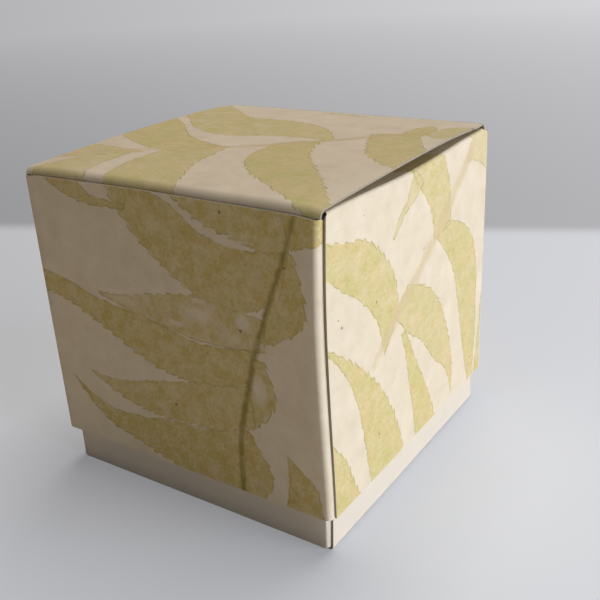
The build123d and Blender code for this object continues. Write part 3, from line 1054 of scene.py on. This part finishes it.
    def trim(self, bm, sizes, low, ring_top, seam):
        """Crowns the front cut edge, slants the glue flap's ends, dips the side walls and opens the seam."""
        half_x, half_y = COVER_HIGH.x, COVER_HIGH.y
        corner = sizes.corner_radius
        fold_end = corner - half_y
        left, right = corner - half_x, seam - corner
        near_edge = sizes.seam_setback - half_y
        shoulder = COVER_HIGH.z - sizes.front_edge_drop - sizes.front_edge_crown - ring_top
        for vert in bm.verts:
            co = vert.co
            height = share(co.z, low, ring_top)
            if near(co.y, -half_y) and left < co.x < right:
                from_end = min(co.x - left, right - co.x)
                crown = sin(QUARTER * share(from_end, sizes.front_edge_slope, (right - left) / 2))
                rise = share(from_end, 0, sizes.front_edge_slope) * shoulder + crown * sizes.front_edge_crown
                co.z += share(co.z, ring_top - 12 * MM, ring_top) * rise
            elif near(co.x, seam) and co.y > fold_end + 0.01 * MM:
                slope = share(co.y, fold_end, sizes.glue_flap - half_y) * sizes.glue_flap_slope
                co.z = low + slope + height * (ring_top - low - 2 * slope)
            if abs(co.x) > half_x / 2 and near_edge - 0.01 * MM < co.y < half_y - corner:
                co.z -= dip(sizes, co.y) * share(co.z, ring_top - 15 * MM, ring_top)
            pressed = share(co.x, 36 * MM, 42 * MM) * (1 - share(co.y, near_edge, -22 * MM)) ** 2
            if co.x < seam + 0.01 * MM:
                pressed *= 1.6 - 0.6 * share(co.y, 0.5 * MM - half_y, 4 * MM - half_y)
            co.x -= sizes.corner_bend * pressed * sin(pi * share(co.z, 14 * MM, ring_top) ** 1.3)
            if co.x > half_x - 2 * MM and co.y > near_edge - 0.01 * MM:
                beside = 1 - share(co.y, near_edge, near_edge + 7 * MM)
                lift = beside**2 * share(co.z, 55 * MM, ring_top) ** 2
                co.x += lift * sizes.seam_gape


class GIFTBOX_OT_fold_top_flap(bpy.types.Operator):
    """Folds the printed top: bowed panel, soft shoulder, rolled bead and tuck flap"""

    bl_idname = "giftbox.fold_top_flap"
    bl_label = "Fold Top Flap"

    def execute(self, context):
        sizes = context.scene.gift_box_sizes
        colours = context.scene.gift_box_colours
        groups = shared_groups(colours)
        panel_half, panel, crest = FLAP_HIGH.x, COVER_HIGH.z, FLAP_HIGH.z
        crease, tuck_plane, tip = FLAP_HIGH.y, FLAP_LOW.y, FLAP_LOW.z
        hinge_y = COVER_HIGH.y - sizes.hinge_radius
        reach, drop = hinge_y - tuck_plane, panel - tip
        lean = atan2(reach - sqrt(reach**2 - drop**2), drop - sizes.bead_radius)
        bow, bow_run, bow_slope, bead_slope, shoulder = bow_places(sizes)
        crest_y = shoulder + bow_run
        tuck_half = COVER_HIGH.x - sizes.card - sizes.glue_gap - sizes.corner_radius - sizes.tuck_clearance
        back_run = crease - crest_y
        back_radius = (back_run**2 + bow**2) / (2 * bow)
        front_radius = (bow_run**2 + bow**2) / (2 * bow)
        bm = bmesh.new()
        start_row(bm, (-panel_half, crease, panel), (panel_half, crease, panel), 36, lambda co: co / MM)
        for edge_x in (-tuck_half, tuck_half):
            bmesh.ops.bisect_plane(
                bm,
                geom=list(bm.verts) + list(bm.edges),
                plane_co=(edge_x, 0, 0),
                plane_no=(1, 0, 0),
                dist=1e-7,
            )
        place = bm.verts.layers.float_vector[BLANK]
        for vert in bm.verts:
            vert[place] = vert.co / MM
        row = list(bm.edges)
        ahead = (0, -1)
        nick = hinge_y - sizes.nick_from_hinge
        back_pivot = (0, crest_y, crest - back_radius)
        at = asin(back_run / back_radius)
        for stop, steps in (
            (nick + sizes.nick_width / 2, 6),
            (nick, 1),
            (nick - sizes.nick_width / 2, 1),
            (crest_y, 10),
        ):
            goal = asin((stop - crest_y) / back_radius)
            distance = back_radius * (at - goal)
            row = carry_on(bm, row, steps, distance, ahead, turn=at - goal, pivot=back_pivot, axis=(1, 0, 0))
            at = goal
        front_pivot = (0, crest_y, crest - front_radius)
        row = carry_on(
            bm, row, 26, front_radius * bow_slope, ahead, turn=bow_slope, pivot=front_pivot, axis=(1, 0, 0)
        )
        radius = sizes.shoulder_radius
        pivot = (0, shoulder + radius * sin(bow_slope), panel - radius * cos(bow_slope))
        turn = bead_slope - bow_slope
        row = carry_on(bm, row, 6, radius * turn, ahead, turn=turn, pivot=pivot, axis=(1, 0, 0))
        rolled = row[0].verts[0].co.copy()
        radius = sizes.bead_radius
        pivot = (0, rolled.y + radius * sin(bead_slope), rolled.z - radius * cos(bead_slope))
        trim_level = top_levels(sizes)[1] + sizes.tuck_clearance
        trim_slope = QUARTER - asin((trim_level - pivot[2]) / radius)
        turn = trim_slope - bead_slope
        row = carry_on(bm, row, 6, radius * turn, ahead, turn=turn, pivot=pivot, axis=(1, 0, 0))
        row = [edge for edge in row if all(abs(vert.co.x) < tuck_half + 0.01 * MM for vert in edge.verts)]
        turn = QUARTER + lean - trim_slope
        row = carry_on(bm, row, 4, radius * turn, ahead, turn=turn, pivot=pivot, axis=(1, 0, 0))
        foot = row[0].verts[0].co.z
        straight = (foot - tip) / cos(lean)
        rounded = sizes.tuck_corner
        way = (0, sin(lean), -cos(lean))
        row = carry_on(bm, row, 2, straight - rounded, ahead, way=way)
        carry_on(bm, row, 8, rounded, ahead, way=way)
        for vert in bm.verts:
            co = vert.co
            if co.z < tip + rounded:
                sunk = share(tip + rounded - co.z, 0, rounded) * rounded
                co.x *= 1 - (rounded - sqrt(max(rounded**2 - sunk**2, 0))) / tuck_half
            if co.y > hinge_y - sizes.hinge_slant:
                inset = share(co.y, hinge_y - sizes.hinge_slant, hinge_y)
                co.x *= 1 - inset * (panel_half - COVER_HIGH.x + sizes.corner_radius) / panel_half
            if near(co.x, panel_half) and abs(co.y - nick) < 0.1 * MM:
                co.x -= sizes.nick_depth
            front = share(crest_y - co.y, 0, crest_y - shoulder)
            held = 1 - share(abs(co.x), tuck_half - 14 * MM, panel_half) ** 2
            co.z += sizes.bead_lift * held * front**2 * share(co.z, tip, trim_level)
        top = printed_card(
            "handmade_card_print_top", TOP_PRINT, (0, 0), colours, groups, colours.stalk_tan, 0.2
        )
        plain, cut = shared_cards(colours, groups)
        outward = ((0, 0, crest), (0, 0, 1))
        finish_sheet(bm, "top_flap_sheet", "top_flap", sizes, outward, (top, plain, cut), 1, 2)
        return {"FINISHED"}


class GIFTBOX_OT_set_stage(bpy.types.Operator):
    """Lays the pale floor and sets the lamps and the camera"""

    bl_idname = "giftbox.set_stage"
    bl_label = "Set Stage"

    def execute(self, context):
        scene = context.scene
        scene.view_settings.view_transform = "Standard"
        self.lay_floor(scene)
        self.set_lamps(scene)
        self.set_camera(scene)
        return {"FINISHED"}

    def lay_floor(self, scene):
        """One wide pale floor that runs on as the backdrop."""
        colours = scene.gift_box_colours
        bm = bmesh.new()
        bmesh.ops.create_grid(bm, x_segments=1, y_segments=1, size=6.0)
        mesh = bpy.data.meshes.new("floor")
        bm.to_mesh(mesh)
        bm.free()
        floor = bpy.data.objects.new("floor", mesh)
        floor.location.z = -0.05 * MM
        scene.collection.objects.link(floor)
        material, tree = new_material("white_cotton_floor")
        # White cotton: matt and a little cool. Behind the box it goes over into a backdrop that glows for
        # camera, glossy and transmission rays, its glow graded as painted light; near the box part of that
        # glow lifts the floor's shadows as painted light.
        where = add(tree, "TexCoord").outputs["Object"]
        behind = add(tree, "VectorMath", (where, (-0.2507, 0.0909, 0.0)), operation="SUBTRACT")
        beyond = add(tree, "VectorMath", (behind, (-0.400, 0.9164, 0.0)), operation="DOT_PRODUCT")
        far = add(
            tree,
            "MapRange",
            {"Value": beyond.outputs["Value"], "From Min": -0.012, "From Max": 0.012},
            interpolation_type="SMOOTHSTEP",
        )
        from_foot = add(tree, "VectorMath", (where, (0.1332, -0.1815, 0.0)), operation="SUBTRACT")
        heading = add(tree, "VectorMath", (from_foot,), operation="NORMALIZE")
        bearing = add(tree, "VectorMath", (heading, (0.8355, 0.5495, 0.0)), operation="DOT_PRODUCT")
        sideways = add(
            tree,
            "MapRange",
            {
                "Value": bearing.outputs["Value"],
                "From Min": -0.36,
                "From Max": 0.34,
                "To Min": 0.36,
                "To Max": 0.525,
            },
        )
        distance = add(tree, "VectorMath", (from_foot,), operation="LENGTH")
        rising = add(
            tree,
            "MapRange",
            {
                "Value": distance.outputs["Value"],
                "From Min": 0.45,
                "From Max": 1.6,
                "To Min": 0.9,
                "To Max": 1.3,
            },
        )
        # Painted light: the glow grows brighter to the right and farther off, like a window's fall-off
        graded = add(tree, "Math", (sideways, rising), operation="MULTIPLY")
        lighter = add(tree, "Math", (graded, 1.75), operation="MULTIPLY")
        tone = add(tree, "Mix", {"Factor": far, "A": lighter, "B": graded})
        path = add(tree, "LightPath")
        seen = add(
            tree, "Math", (path.outputs["Is Camera Ray"], path.outputs["Is Glossy Ray"]), operation="MAXIMUM"
        )
        shown = add(tree, "Math", (seen, path.outputs["Is Transmission Ray"]), operation="MAXIMUM")
        # Share of glow seen by camera rays: about a third near the box, lifting the floor's shadows as
        # painted light, and all of it on the far backdrop
        lifted = add(tree, "MapRange", {"Value": far, "To Min": 0.34})
        even = add(tree, "Math", (lifted, shown), operation="MULTIPLY")
        toned = add(
            tree,
            "Mix",
            {"Factor": shown, "A": (*colours.floor_bounce, 1), "B": (*colours.floor, 1)},
            data_type="RGBA",
        )
        cloth = add(tree, "BsdfDiffuse", {"Color": toned.outputs["Result"]})
        glow = add(tree, "Emission", {"Color": (*colours.backdrop, 1), "Strength": tone})
        mixed = add(tree, "MixShader", (even, cloth, glow))
        add(tree, "OutputMaterial", {"Surface": mixed})
        mesh.materials.append(material)

    def set_lamps(self, scene):
        """A low, wide window on the right, a soft light high up behind and a dim, warm room."""
        for name, aim, away, width, height, power, tint in (
            ("window", (0.99, 0.05, 0.12), 1.6, 1.3, 0.55, 26.0, "F3F9FF"),
            ("skylight", (0.0, 0.29, 0.957), 1.5, 1.0, 1.0, 14.6, "FFF4E6"),
        ):
            lamp = bpy.data.lights.new(name, "AREA")
            lamp.shape = "RECTANGLE"
            lamp.size, lamp.size_y = width, height
            lamp.energy = power
            lamp.color = linear(tint)
            holder = bpy.data.objects.new(name, lamp)
            offset = Vector(aim) * away
            holder.location = offset + Vector((0, 0, 0.045))
            holder.rotation_euler = (-offset).to_track_quat("-Z", "Y").to_euler()
            scene.collection.objects.link(holder)
        world = bpy.data.worlds.new("dim_room")
        world.use_nodes = True
        backing = world.node_tree.nodes["Background"]
        backing.inputs["Color"].default_value = (*linear("FFF2E2"), 1)
        backing.inputs["Strength"].default_value = 0.03
        scene.world = world

    def set_camera(self, scene):
        """Camera at the photograph's place, aim and tilt."""
        data = bpy.data.cameras.new("camera")
        data.sensor_width = 36.0
        data.lens = 50.64
        data.clip_start = 0.01
        camera = bpy.data.objects.new("camera", data)
        look = Vector((-0.520526, 0.755478, -0.397877))
        right = Vector((0.834476, 0.548801, -0.049663))
        up = right.cross(look)
        camera.matrix_world = Matrix.Translation((0.133186, -0.181509, 0.139271)) @ Matrix(
            (right, up, -look)
        ).transposed().to_4x4()
        scene.collection.objects.link(camera)
        scene.camera = camera


class VIEW3D_PT_gift_box(bpy.types.Panel):
    """Lists the pieces and the stage, with their sizes and colours"""

    bl_label = "Gift Box"
    bl_space_type = "VIEW_3D"
    bl_region_type = "UI"
    bl_category = "Gift Box"

    def draw(self, context):
        layout = self.layout
        for operator in STEPS:
            layout.operator(operator.bl_idname)
        for group in (context.scene.gift_box_sizes, context.scene.gift_box_colours):
            column = layout.column()
            for name in group.__annotations__:
                column.prop(group, name)


STEPS = (GIFTBOX_OT_fold_base, GIFTBOX_OT_fold_cover, GIFTBOX_OT_fold_top_flap, GIFTBOX_OT_set_stage)
CLASSES = (GiftBoxSizes, GiftBoxColours, *STEPS, VIEW3D_PT_gift_box)


def register():
    """Registers the classes and hangs the sizes and colours on the scene."""
    for item in CLASSES:
        bpy.utils.register_class(item)
    bpy.types.Scene.gift_box_sizes = bpy.props.PointerProperty(type=GiftBoxSizes)
    bpy.types.Scene.gift_box_colours = bpy.props.PointerProperty(type=GiftBoxColours)


def unregister():
    """Takes the sizes, the colours and the classes away again."""
    del bpy.types.Scene.gift_box_colours
    del bpy.types.Scene.gift_box_sizes
    for item in reversed(CLASSES):
        bpy.utils.unregister_class(item)


def main():
    """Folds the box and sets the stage."""
    register()
    bpy.ops.giftbox.fold_base()
    bpy.ops.giftbox.fold_cover()
    bpy.ops.giftbox.fold_top_flap()
    bpy.ops.giftbox.set_stage()


if __name__ == "__main__":
    main()
